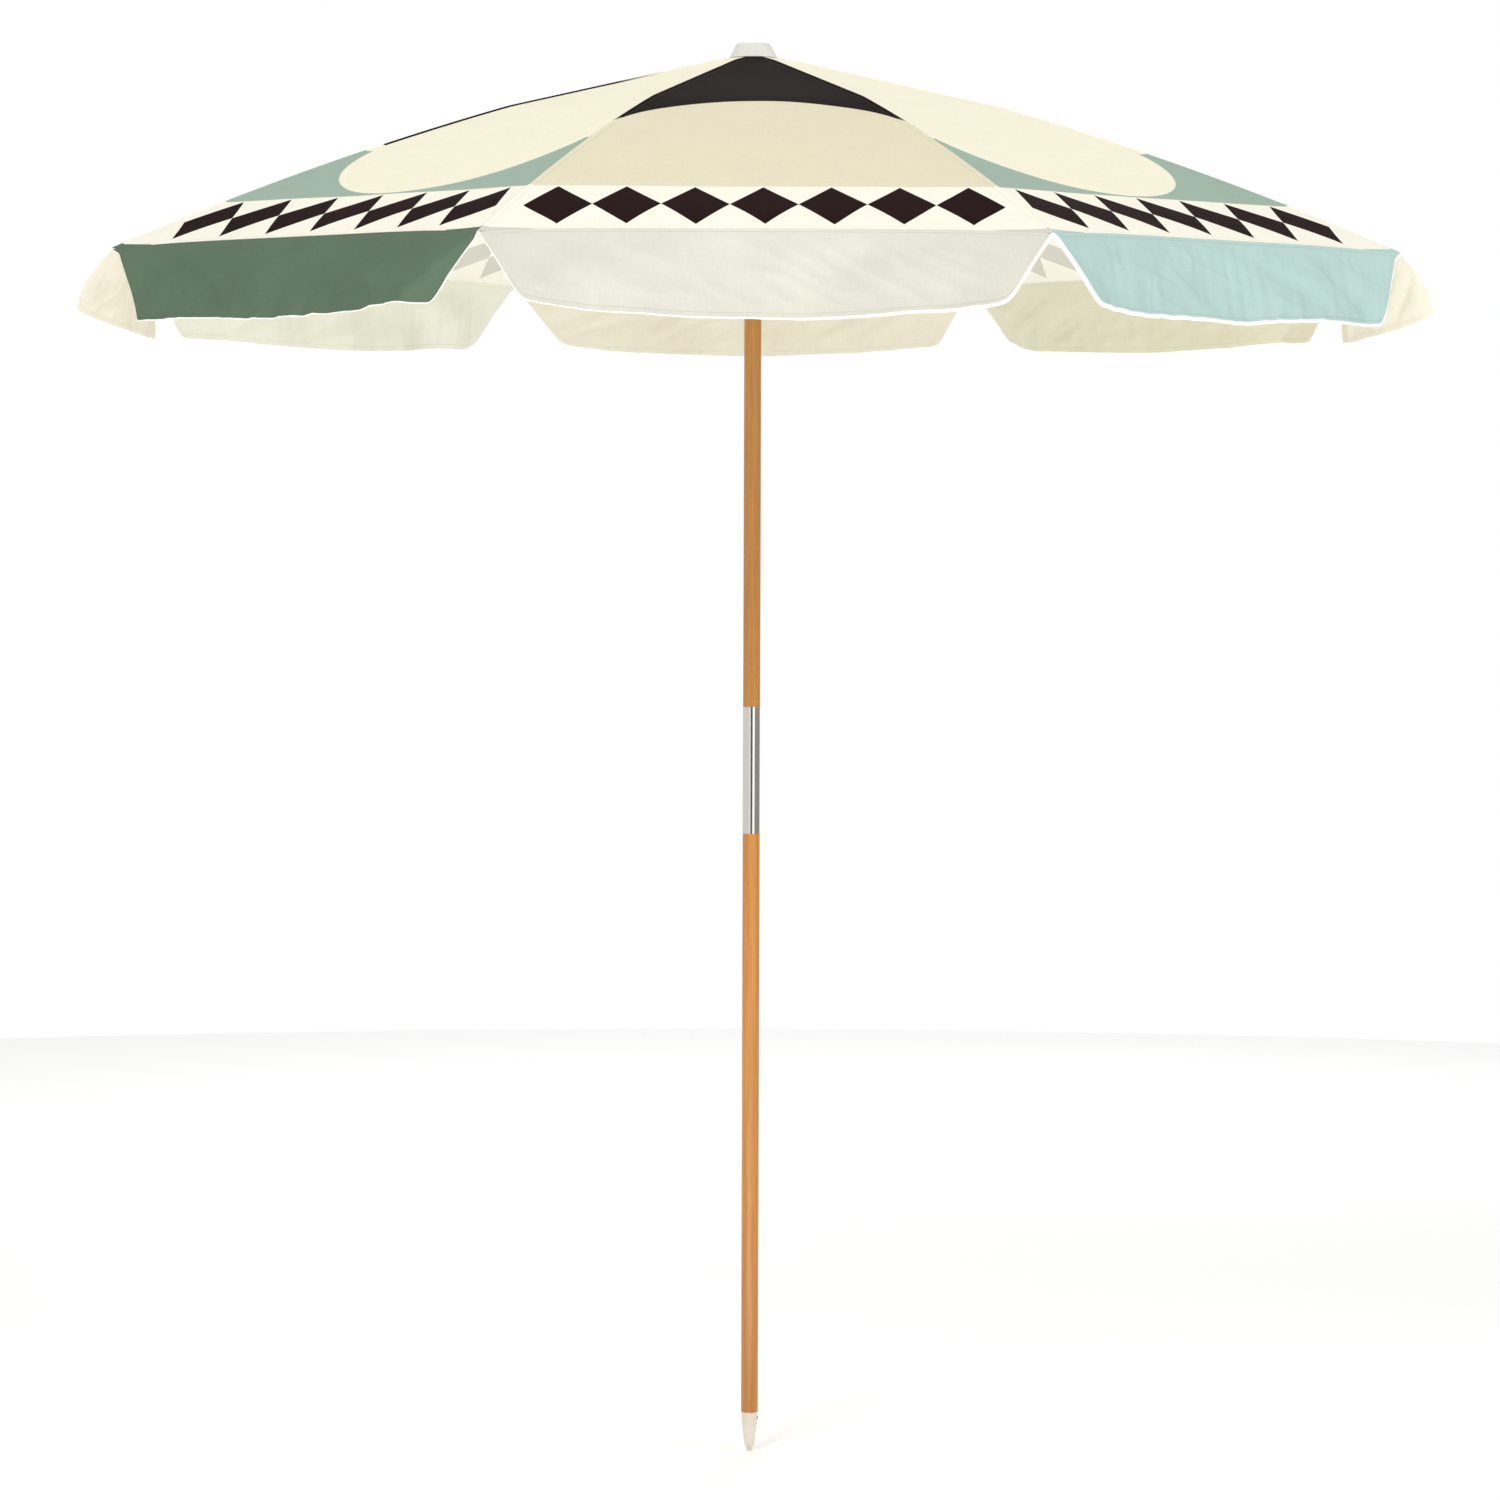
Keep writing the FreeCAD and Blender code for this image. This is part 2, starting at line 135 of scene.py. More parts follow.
class Graph:
    """A node tree and short ways to add nodes to it."""

    def __init__(self, tree):
        self.tree = tree

    def link(self, a, b):
        self.tree.links.new(a, b)

    def put(self, socket, value):
        if isinstance(value, bpy.types.NodeSocket):
            self.link(value, socket)
        else:
            socket.default_value = value

    def math(self, op, *values):
        node = self.tree.nodes.new("ShaderNodeMath")
        node.operation = op
        for socket, value in zip(node.inputs, values):
            self.put(socket, value)
        return node.outputs[0]

    def step(self, x, width=0.0004):
        """0 where x is below 0 and 1 above, over a narrow width."""
        node = self.tree.nodes.new("ShaderNodeMapRange")
        node.inputs["From Min"].default_value = -width / 2
        node.inputs["From Max"].default_value = width / 2
        self.link(x, node.inputs["Value"])
        return node.outputs["Result"]

    def span(self, x, low, high, to_low, to_high):
        node = self.tree.nodes.new("ShaderNodeMapRange")
        for key, value in zip(("From Min", "From Max", "To Min", "To Max"), (low, high, to_low, to_high)):
            node.inputs[key].default_value = value
        self.link(x, node.inputs["Value"])
        return node.outputs["Result"]

    def mix(self, factor, a, b, blend="MIX"):
        node = self.tree.nodes.new("ShaderNodeMix")
        node.data_type, node.blend_type = "RGBA", blend
        self.put(node.inputs["Factor"], factor)
        self.put(node.inputs["A"], a)
        self.put(node.inputs["B"], b)
        return node.outputs["Result"]

    def attribute(self, name):
        node = self.tree.nodes.new("ShaderNodeAttribute")
        node.attribute_name = name
        return node.outputs["Vector"]

    def position(self):
        return self.tree.nodes.new("ShaderNodeTexCoord").outputs["Object"]

    def split(self, vector):
        node = self.tree.nodes.new("ShaderNodeSeparateXYZ")
        self.link(vector, node.inputs[0])
        return node.outputs

    def scaled(self, vector, scale):
        node = self.tree.nodes.new("ShaderNodeMapping")
        node.inputs["Scale"].default_value = scale
        self.link(vector, node.inputs["Vector"])
        return node.outputs[0]

    def noise(self, vector, scale, detail=3.0, rough=0.5, distortion=0.0):
        node = self.tree.nodes.new("ShaderNodeTexNoise")
        for key, value in zip(("Scale", "Detail", "Roughness", "Distortion"), (scale, detail, rough, distortion)):
            node.inputs[key].default_value = value
        self.link(vector, node.inputs["Vector"])
        return node.outputs["Fac"]

    def bump(self, height, distance, strength=1.0, under=None):
        node = self.tree.nodes.new("ShaderNodeBump")
        node.inputs["Distance"].default_value = distance
        node.inputs["Strength"].default_value = strength
        self.link(height, node.inputs["Height"])
        if under is not None:
            self.link(under, node.inputs["Normal"])
        return node.outputs[0]


class Paint(Graph):
    """A material, with its shader's inputs given by name."""

    def __init__(self, name, **inputs):
        self.mat = bpy.data.materials.new(name)
        self.mat.use_nodes = True
        super().__init__(self.mat.node_tree)
        self.bsdf = self.tree.nodes["Principled BSDF"]
        for key, value in inputs.items():
            self.bsdf.inputs[key.replace("_", " ")].default_value = value


def weave(g, cut, pitch=0.0011):
    """Plain weave: a bump, and a value that lightens and darkens single yarns."""
    parts = g.split(cut)
    warp = g.math("SINE", g.math("MULTIPLY", parts["X"], 2 * math.pi / pitch))
    weft = g.math("SINE", g.math("MULTIPLY", parts["Z"], 2 * math.pi / pitch))
    yarns = g.math("MULTIPLY", warp, weft)
    slub = g.noise(g.scaled(cut, (900.0, 60.0, 60.0)), 1.0, 2.0)
    slub_b = g.noise(g.scaled(cut, (60.0, 900.0, 900.0)), 1.0, 2.0)
    return yarns, g.math("ADD", slub, slub_b)


def cloth_material(name, colour_of, wash=0.0, wash_to=(1, 1, 1, 1), rough=0.82, mottle=0.015):
    """Woven cloth whose colour comes from where it is on the cut. wash fades the print, as on its inside,
    and mottle is how much the dye varies."""
    g = Paint(name, Roughness=rough, Sheen_Weight=0.01, Sheen_Roughness=0.5, Specular_IOR_Level=0.03)
    cut = g.attribute("cut")
    yarns, slub = weave(g, cut)
    colour = colour_of(g, cut)
    if wash:
        colour = g.mix(wash, colour, wash_to)
    soft = g.noise(cut, 9.0, 4.0, 0.6)
    soft = g.span(soft, 0.3, 0.7, 1 - mottle, 1 + mottle)
    shade = g.math("MULTIPLY", g.span(slub, 0.7, 1.3, 0.965, 1.035), soft)
    grey = g.tree.nodes.new("ShaderNodeCombineColor")
    for socket in grey.inputs[:3]:
        g.link(shade, socket)
    g.link(g.mix(1.0, colour, grey.outputs[0], "MULTIPLY"), g.bsdf.inputs["Base Color"])
    first = g.bump(slub, 0.0004, 0.35)
    g.link(g.bump(yarns, 0.00025, 0.5, first), g.bsdf.inputs["Normal"])
    return g.mat


def tangent_ellipse(r_tangent, x):
    """(half width, half height, centre) of an ellipse on a panel's middle that touches both ridges at a radius."""
    k2 = SIN * SIN
    half_w = math.sqrt(k2 * r_tangent**2 * (1 + x))
    return half_w, half_w * math.sqrt(x / k2), r_tangent * (1 + x)


# The radius where each field touches the ridges, its ellipse, and the power that shapes the ellipse's sides
DOME = (0.610, tangent_ellipse(0.610, 0.129), 2.15)    # top of the beige field, under the dark crown
BOWL = (0.667, tangent_ellipse(0.590, 0.130), 2.0)     # foot of the cream field, between the green corners
BAND_R = 0.8985                                        # where the ivory band starts
DIAMOND_PITCH, DIAMOND_R, DIAMOND_H, DIAMONDS = 0.1005, 0.9840, 0.0820, 7
LAP_R, LAP_W = 0.638, 0.0056              # how far down, and how wide, the dark crown's seam shows on its neighbour
POCKET_L, POCKET_W = 0.075, 0.016         # the rib pocket's corner, along the edge and up the ridge
INK, BEIGE, CREAM = srgb(29, 23, 20), srgb(230, 223, 195), srgb(249, 244, 220)
IVORY, GREEN, DIAMOND = srgb(251, 247, 232), srgb(163, 184, 169), srgb(32, 10, 10)
THREAD, INSIDE = srgb(120, 112, 98), srgb(247, 244, 232)


def stitches(g, colour, distance, along, where):
    """Darkens a dashed line of stitches at a distance from an edge."""
    near = g.math("ABSOLUTE", g.math("SUBTRACT", distance, where))
    on = g.step(g.math("SUBTRACT", 0.0004, near), 0.0003)
    dash = g.step(g.math("SUBTRACT", g.math("PINGPONG", along, 0.0016), 0.0004), 0.0003)
    return g.mix(g.math("MULTIPLY", g.math("MULTIPLY", on, dash), 0.35), colour, THREAD)


def print_of(kind, pocket, lapped=False):
    """The printed pattern of a panel: kind 0 has the dark crown, kind 1 the green corners.
    pocket is the colour of the rib pockets in the panel's outer corners. lapped shows the dark crown's seam."""
    def colour(g, cut):
        parts = g.split(cut)
        c, r = g.math("ABSOLUTE", parts["X"]), parts["Y"]
        r_touch, (half_w, half_h, centre), power = (DOME, BOWL)[kind]
        across = g.math("POWER", g.math("DIVIDE", c, half_w), power)
        along = g.math("POWER", g.math("ABSOLUTE", g.math("DIVIDE", g.math("SUBTRACT", r, centre), half_h)), 2.0)
        outside = g.step(g.math("SUBTRACT", g.math("ADD", across, along), 1.0), 0.004)
        side = g.math("SUBTRACT", r_touch, r) if kind == 0 else g.math("SUBTRACT", r, r_touch)
        field = g.math("MULTIPLY", outside, g.step(side))
        base = g.mix(field, (BEIGE, CREAM)[kind], (INK, GREEN)[kind])
        base = g.mix(g.step(g.math("SUBTRACT", r, BAND_R)), base, IVORY)
        near = g.math("DIVIDE", g.math("PINGPONG", c, DIAMOND_PITCH / 2), DIAMOND_PITCH / 2)
        rise = g.math("DIVIDE", g.math("ABSOLUTE", g.math("SUBTRACT", r, DIAMOND_R)), DIAMOND_H)
        inside = g.step(g.math("SUBTRACT", g.math("SUBTRACT", 1.0, near), rise), 0.008)
        within = g.step(g.math("SUBTRACT", DIAMONDS / 2 * DIAMOND_PITCH, c))
        base = g.mix(g.math("MULTIPLY", inside, within), base, DIAMOND)
        seam = g.math("MULTIPLY", g.math("SUBTRACT", g.math("MULTIPLY", r, SIN), c), COS)
        if lapped:
            lap = g.math("MULTIPLY", g.step(g.math("SUBTRACT", LAP_W, seam)), g.span(r, 0.16, 0.24, 0.0, 1.0))
            lap = g.math("MULTIPLY", lap, g.step(g.math("SUBTRACT", LAP_R, r)))
            base = g.mix(lap, base, INK)
        from_edge = g.math("SUBTRACT", EDGE_R, r)
        slant = g.math("ADD", g.math("DIVIDE", seam, POCKET_L), g.math("DIVIDE", from_edge, POCKET_W))
        base = g.mix(g.step(g.math("SUBTRACT", 1.0, slant), 0.02), base, pocket)
        base = stitches(g, base, seam, r, 0.0065)
        return stitches(g, base, from_edge, c, 0.006)
    return colour


def plain(colour):
    """One dyed colour, with stitches along the top seam and the binding."""
    def stitched(g, cut):
        parts = g.split(cut)
        base = stitches(g, colour, parts["Y"], parts["X"], 0.0075)
        return stitches(g, base, parts["Z"], parts["X"], 0.005)
    return stitched


# Flap colours round the edge, from the front panel anticlockwise seen from above. The front-left and front-right flaps
# are one sage cloth: the left one is painted shade, the right one painted light. The rib pockets of their panels take
# these colours.
FLAP_COLOURS = {
    # The back-right and back-left flaps are one pale cloth: the right one is painted shade, the left one painted light.
    # Their panels' rib pockets take these colours too.
    "ivory": srgb(217, 215, 203), "sage_in_painted_light": srgb(186, 214, 208), "sand": srgb(233, 226, 205),
    "back_cloth_in_painted_shade": srgb(219, 216, 186), "back_cloth_in_painted_light": srgb(234, 237, 220), "sage_in_painted_shade": srgb(97, 118, 97),
}
FLAP_ORDER = ["ivory", "sage_in_painted_light", "sand", "back_cloth_in_painted_shade", "sand", "back_cloth_in_painted_light", "sand", "sage_in_painted_shade"]
FLAP_OUT = {k: cloth_material(f"flap_{k}", plain(v), rough=0.78, mottle=0.06 if k == "sage_in_painted_shade" else 0.03)
            for k, v in FLAP_COLOURS.items()}
FLAP_IN = {k: cloth_material(f"flap_back_{k}", plain(v), 0.35, INSIDE, 0.85) for k, v in FLAP_COLOURS.items()}


def panel_skins():
    """Outer, inner and lapped outer material of each panel."""
    out = []
    for k, name in enumerate(FLAP_ORDER):
        args = (k % 2, FLAP_COLOURS[name])
        outer = cloth_material(f"panel_{k + 1}", print_of(*args))
        inner = cloth_material(f"panel_back_{k + 1}", print_of(*args), 0.72, INSIDE)
        lapped = cloth_material(f"panel_lapped_{k + 1}", print_of(*args, lapped=True)) if k % 2 else outer
        out.append((outer, inner, lapped))
    return out


PANEL_SKINS = panel_skins()


def piping_material():
    """White cotton tape."""
    g = Paint("piping", Roughness=0.55, Sheen_Weight=0.1)
    spots = g.noise(g.position(), 900.0, 2.0)
    colour = g.mix(g.span(spots, 0.3, 0.7, 0.0, 1.0), srgb(244, 244, 238), srgb(253, 253, 250))
    g.link(colour, g.bsdf.inputs["Base Color"])
    g.link(g.bump(spots, 0.0004, 0.5), g.bsdf.inputs["Normal"])
    return g.mat


def wood_material(name, light, mid, dark, pore):
    """Turned hardwood, varnished, with long grain up the pole."""
    g = Paint(name, Roughness=0.36, Coat_Weight=0.25, Coat_Roughness=0.16)
    p = g.position()
    fibre = g.noise(g.scaled(p, (420.0, 420.0, 5.5)), 1.0, 6.0, 0.62, 0.4)
    pores = g.noise(g.scaled(p, (1500.0, 1500.0, 26.0)), 1.0, 2.0, 0.5)
    broad = g.noise(g.scaled(p, (45.0, 45.0, 1.6)), 1.0, 3.0, 0.55, 0.8)
    base = g.mix(g.span(broad, 0.35, 0.65, 0.0, 1.0), light, mid)
    base = g.mix(g.span(fibre, 0.42, 0.72, 0.0, 0.75), base, dark)
    base = g.mix(g.span(pores, 0.60, 0.72, 0.0, 0.45), base, pore)
    g.link(base, g.bsdf.inputs["Base Color"])
    g.link(g.span(fibre, 0.3, 0.7, 0.30, 0.44), g.bsdf.inputs["Roughness"])
    g.link(g.bump(g.math("ADD", fibre, pores), 0.0005, 0.25), g.bsdf.inputs["Normal"])
    return g.mat


def steel_material(name, colour, rough, brushed=0.3):
    """Steel with fine lines up its length, and smears that change its gloss."""
    g = Paint(name, Metallic=1.0, Roughness=rough, Base_Color=colour)
    p = g.position()
    lines = g.noise(g.scaled(p, (2600.0, 2600.0, 40.0)), 1.0, 3.0, 0.6)
    smear = g.noise(p, 60.0, 4.0, 0.6)
    g.link(g.span(g.math("ADD", lines, smear), 0.7, 1.3, rough * 0.75, rough * 1.35), g.bsdf.inputs["Roughness"])
    g.link(g.bump(lines, 0.0001, brushed), g.bsdf.inputs["Normal"])
    return g.mat


def plastic_material(name, colour, worn, rough=0.45):
    """Moulded plastic or paint with a fine grain, rubbed in places."""
    g = Paint(name, Roughness=rough)
    p = g.position()
    cloud = g.noise(p, 38.0, 5.0, 0.6)
    fine = g.noise(p, 1400.0, 2.0, 0.5)
    g.link(g.mix(g.span(cloud, 0.35, 0.7, 0.0, 0.8), colour, worn), g.bsdf.inputs["Base Color"])
    g.link(g.span(cloud, 0.3, 0.7, rough * 0.85, rough * 1.2), g.bsdf.inputs["Roughness"])
    g.link(g.bump(fine, 0.0003, 0.25), g.bsdf.inputs["Normal"])
    return g.mat


FINISH = {
    "lower_pole": wood_material(
        "wood_lower", srgb(192, 130, 56), srgb(182, 118, 46), srgb(156, 94, 34), srgb(116, 65, 20)),
    "upper_pole": wood_material(
        "wood_upper", srgb(188, 132, 62), srgb(178, 119, 50), srgb(156, 96, 37), srgb(118, 68, 25)),
    "ferrule": steel_material("steel_polished", (0.88, 0.87, 0.84, 1.0), 0.09, 0.05),
    "ground_spike": plastic_material("plastic_spike", srgb(226, 218, 202), srgb(208, 198, 178), 0.42),
    "crown": plastic_material("plastic_crown", srgb(228, 228, 221), srgb(214, 213, 204), 0.4),
    "rod": plastic_material("paint_rod", srgb(236, 236, 230), srgb(222, 222, 214), 0.33),
    "small": steel_material("steel_small", (0.55, 0.54, 0.52, 1.0), 0.3),
    "dark": steel_material("steel_dark", (0.10, 0.095, 0.09, 1.0), 0.38),
}
NODE_FINISH = {
    "lower_pole": "lower_pole", "upper_pole": "upper_pole", "ferrule": "ferrule", "ground_spike": "ground_spike",
    "spike_screw": "dark", "crown_hub": "crown", "crown_cap": "crown", "runner": "crown", "crown_ring": "small",
    "runner_ring": "small", "cap_screw": "small", "runner_catch": "small", "rib": "rod", "stretcher": "rod",
    "rib_tip": "dark", "rib_bracket": "small",
}
PIPING = piping_material()


def dress_frame():
    """Gives every CAD node that stays in view its material."""
    for name in frame["nodes"]:
        obj = bpy.data.objects[name]
        family = name.rstrip("0123456789").rstrip("_")
        if family in ("canopy", "valance"):
            continue
        obj.data.materials.clear()
        obj.data.materials.append(FINISH[NODE_FINISH[family]])


# ---------------------------------------------------------------- cloth shapes, in a panel's own frame
def profile_length(steps=400):
    """Length down a panel's middle at each radius, as (radius, length) pairs."""
    out, length = [(START_R, 0.0)], 0.0
    for i in range(1, steps + 1):
        a, b = (START_R + (EDGE_R - START_R) * k / steps for k in (i - 1, i))
        length += math.hypot((b - a) * COS, ridge(b) - ridge(a))
        out.append((b, length))
    return out


LENGTHS = profile_length()


def length_at(r):
    """Length down a panel's middle from its start to a radius."""
    t = (r - START_R) / (EDGE_R - START_R) * (len(LENGTHS) - 1)
    i = min(int(t), len(LENGTHS) - 2)
    return LENGTHS[i][1] + (LENGTHS[i + 1][1] - LENGTHS[i][1]) * (t - i)


def panel_point(seed, r, share):
    """(place, cut) of a point on a panel. share is -1 on one rib, 0 in the middle and 1 on the other."""
    c = r * SIN * share
    t = (r - START_R) / (EDGE_R - START_R)
    slack = (1 - share * share) * math.sin(math.pi * min(1.0, t * 1.02))
    calm = smooth((r * SIN - abs(c)) / 0.03)
    ripple = noise.noise(Vector((c * 7.0, r * 3.2, seed * 3.7))) * 0.0030 * slack * calm
    pull = math.sin(abs(share) * 19.0 + seed) * 0.0007 * smooth((t - 0.86) / 0.1) * calm
    pull *= 1 - smooth((t - 0.985) / 0.015)
    welt = 0.0020 * math.exp(-(((r * SIN - abs(c)) * COS / 0.0034) ** 2)) * smooth((r - START_R) / 0.05)
    u = r * COS - drawn_in(r, share)
    return Vector((u, c, ridge(r) + lifted(r, share) + ripple + pull + welt)), Vector((abs(c), r, length_at(r)))


# One end of a flap: where a crease that starts at the corner meets the foot, how far the cloth beyond it turns (out
# is more than 0), how wide the bend is, how far the end stands out, and how steep the side is. Angles in degrees.
End = namedtuple("End", "crease turn bend stands slope")
# middle is how far a flap's middle stands out, and binding the radius of its piping at each end.
Flap = namedtuple("Flap", "left right middle binding")
# From the front flap anticlockwise seen from above; left and right as seen from outside
FLAPS = [
    Flap(End(0.060, -20, 0.006, 33, 2.0), End(0.085, -38, 0.006, 33, 1.9), 4, (0.0008, 0.0028)),
    Flap(End(0.160, 26, 0.0022, 13, 3.0), End(0.070, -104, 0.004, 13, 2.0), 20, (0.0034, 0.0026)),
    Flap(End(0.070, 4, 0.006, 42, 2.0), End(0.110, 22, 0.006, 40, 2.2), 3, (0.0011, 0.0014)),
    Flap(End(0.140, -30, 0.004, 26, 2.3), End(0.150, 26, 0.005, 20, 4.2), 6, (0.0012, 0.0014)),
    Flap(End(0.080, -24, 0.006, 32, 2.3), End(0.095, -30, 0.006, 32, 1.5), 5, (0.0012, 0.0012)),
    Flap(End(0.110, 28, 0.005, 22, 3.8), End(0.090, -22, 0.006, 24, 2.0), 6, (0.0014, 0.0012)),
    Flap(End(0.100, 20, 0.006, 40, 2.0), End(0.070, 4, 0.006, 42, 2.0), 3, (0.0012, 0.0011)),
    Flap(End(0.080, -106, 0.004, 10, 2.05), End(0.140, -62, 0.003, 38, 2.0), 21, (0.0011, 0.0010)),
]
CREASE_START = 0.006                      # where the crease leaves the panel's edge
END_STAYS, END_FADES = 0.03, 0.15         # how far in an end stands out in full, and how fast that fades


def end_of(k, c):
    return FLAPS[k].left if c < 0 else FLAPS[k].right


def flap_hang(k, c):
    """How far flap k's cloth hangs at a place along the edge: a slanted side, a round corner, a bowed foot."""
    inset = CHORD - abs(c)
    side, foot = inset * end_of(k, c).slope, FLAP_S - FLAP_BOW * (1 - smooth(inset / CHORD))
    return max(0.0, side - softplus(side - foot, FLAP_ROUND) + softplus(-foot, FLAP_ROUND))


def flap_point(k, c, s):
    """Place of a point on flap k, from its distance along the edge and down the cloth."""
    end, from_end = end_of(k, c), CHORD - abs(c)
    # The cloth beyond the crease turns about it
    line = Vector((end.crease - CREASE_START, FLAP_S)).normalized()
    normal, turn = Vector((-line.y, line.x)), math.radians(end.turn)
    beyond = softplus(Vector((from_end - CREASE_START, s)).dot(normal), end.bend) * smooth(s / 0.012)
    inset = from_end - normal.x * (1 - math.cos(turn)) * beyond
    down = s - normal.y * (1 - math.cos(turn)) * beyond
    out = math.sin(turn) * beyond
    # The flap stands out from the vertical, most at its ends
    near = 1.0 if from_end < END_STAYS else math.exp(-(((from_end - END_STAYS) / END_FADES) ** 1.3))
    flare = math.radians(FLAPS[k].middle + (end.stands - FLAPS[k].middle) * near)
    # Puckers at the binding, soft drape, slanted creases and fine wrinkles, all quieter at the ends
    hang = flap_hang(k, c)
    low = smooth((s - 0.35 * hang) / (0.65 * hang + 1e-6))
    pucker = noise.noise(Vector((c * 30.0, s * 8.0, k * 5.1))) * 0.0050 * low ** 1.6
    drape = noise.noise(Vector((c * 9.0 + s * 6.0, s * 7.0, k * 2.3))) * 0.0150 * smooth(s / 0.07)
    crease = abs(noise.noise(Vector((c * 15.0 - s * 22.0, s * 11.0, k * 7.7)))) * 0.0110 * smooth(s / 0.05)
    crease *= 1 - 0.8 * smooth((s - hang + 0.03) / 0.03)
    fine = noise.noise(Vector((c * 75.0 + s * 10.0, s * 12.0, k * 9.1))) * 0.0022 * smooth(s / 0.03)
    still = 1 - 0.75 * math.exp(-((from_end / 0.10) ** 2))
    out += (pucker + drape - crease + fine) * still + 0.004 * math.sin(math.pi * min(1.0, s / FLAP_S))
    u = EDGE_R * COS - drawn_in(EDGE_R, c / CHORD) + down * math.sin(flare) + out * math.cos(flare)
    z = ridge(EDGE_R) + lifted(EDGE_R, c / CHORD) - CLOTH - down * math.cos(flare) + out * math.sin(flare)
    return Vector((u, math.copysign(CHORD - inset, c) if c else 0.0, z))


def grid_mesh(rows, columns, point):
    """bmesh of a grid. point(i, j) gives (place, cut)."""
    bm = bmesh.new()
    cut = bm.verts.layers.float_vector.new("cut")
    verts = []
    for i in range(rows + 1):
        for j in range(columns + 1):
            place, on_cut = point(i, j)
            v = bm.verts.new(place)
            v[cut] = on_cut
            verts.append(v)
    for i in range(rows):
        for j in range(columns):
            a = i * (columns + 1) + j
            bm.faces.new((verts[a], verts[a + columns + 1], verts[a + columns + 2], verts[a + 1]))
    return bm


def panel_mesh(k):
    """Panel k's sheet, with more columns by the ridges."""
    rows, columns = 96, 76
    def point(i, j):
        r = START_R + (EDGE_R - START_R) * i / rows
        x = -1 + 2 * j / columns
        return panel_point(k, r, math.copysign(1 - (1 - abs(x)) ** 1.8, x))
    return grid_mesh(rows, columns, point)


def flap_columns(count=176):
    """Places along a flap's edge, closer together at the ends."""
    out = []
    for j in range(count + 1):
        x = -1 + 2 * j / count
        inset = CHORD * (1 - abs(x)) ** 1.55
        out.append(math.copysign(CHORD - inset, x) if x else 0.0)
    return out


def flap_mesh(k):
    """Flap k's sheet, from the panel's edge down to its free edge."""
    columns, rows = flap_columns(), 26
    def point(i, j):
        c = columns[j]
        hang = flap_hang(k, c)
        s = hang * i / rows
        return flap_point(k, c, s), Vector((abs(c), hang - s, s))
    bm = grid_mesh(rows, len(columns) - 1, point)
    bmesh.ops.remove_doubles(bm, verts=bm.verts, dist=1e-5)
    return bm


def piping_mesh(k, sides=8):
    """Round binding along a flap's free edge."""
    columns = flap_columns()
    path = [flap_point(k, c, flap_hang(k, c)) for c in columns]
    bm = bmesh.new()
    cut = bm.verts.layers.float_vector.new("cut")
    rings, sizes = [], FLAPS[k].binding
    for i, p in enumerate(path):
        radius = sizes[0] + (sizes[1] - sizes[0]) * smooth(0.5 + 0.5 * columns[i] / CHORD)
        way = (path[min(i + 1, len(path) - 1)] - path[max(i - 1, 0)]).normalized()
        a = way.cross(Vector((1, 0, 0.3))).normalized()
        b = way.cross(a).normalized()
        ring = []
        for n in range(sides):
            t = 2 * math.pi * n / sides
            v = bm.verts.new(p + (a * math.cos(t) + b * math.sin(t)) * radius)
            v[cut] = Vector((abs(columns[i]), 0.0, radius * t))
            ring.append(v)
        rings.append(ring)
    for ring, following in zip(rings, rings[1:]):
        for n in range(sides):
            bm.faces.new((ring[n], following[n], following[(n + 1) % sides], ring[(n + 1) % sides]))
    for ring in (rings[0], rings[-1]):
        bm.faces.new(ring)
    bmesh.ops.recalc_face_normals(bm, faces=bm.faces)
    return bm


# ---------------------------------------------------------------- cutting the cloth into pieces that can fold
Cloth = namedtuple("Cloth", "obj kind flats held side rib")


def rib_azimuth(i):
    return math.radians(-112.5 + 45.0 * i)


def fold_plane(i, side, gap):
    """(point, normal), at rest, of the plane on rib i's body that its cloth on one side is pleated onto when shut."""
    closed = Vector((-SIN, side * COS, 0.0))
    back = Matrix.Rotation(-FOLD, 3, "Y")
    normal = back @ closed
    point = Vector((PIVOT_R, 0, HUB_Z)) + back @ (Vector((-PIVOT_R, 0, 0)) - closed * gap)
    turn = Matrix.Rotation(rib_azimuth(i), 3, "Z")
    return turn @ point, turn @ normal


def part_of(bm, cuts):
    """Copy of a bmesh that keeps what is behind each (point, normal)."""
    new = bm.copy()
    for point, normal in cuts:
        everything = list(new.verts) + list(new.edges) + list(new.faces)
        bmesh.ops.bisect_plane(new, geom=everything, plane_co=point, plane_no=normal, clear_outer=True, dist=1e-6)
    return new


def flat_size(bm, kind, gore):
    """((width, length), area) of the flat cut, with the width across the strip for a strip."""
    cut = bm.verts.layers.float_vector["cut"]
    def across(at):
        if gore:
            return at.x
        return (at.y * SIN if kind == "canopy" else CHORD) - abs(at.x)
    xs = [across(v[cut]) for v in bm.verts]
    ys = [v[cut].z for v in bm.verts]
    area = 0.0
    for f in bm.faces:
        p = [(v[cut].x, v[cut].z) for v in f.verts]
        area += abs(sum(a[0] * b[1] - b[0] * a[1] for a, b in zip(p, p[1:] + p[:1]))) / 2
    return (max(xs) - min(xs), max(ys) - min(ys)), area


def join(parts):
    """One bmesh from several (bmesh, material index) pairs, welded where they meet."""
    out = bmesh.new()
    out.verts.layers.float_vector.new("cut")
    for bm, index in parts:
        for f in bm.faces:
            f.material_index = index
        mesh = bpy.data.meshes.new("part")
        bm.to_mesh(mesh)
        out.from_mesh(mesh)
        bpy.data.meshes.remove(mesh)
    bmesh.ops.remove_doubles(out, verts=out.verts, dist=2e-6)
    return out


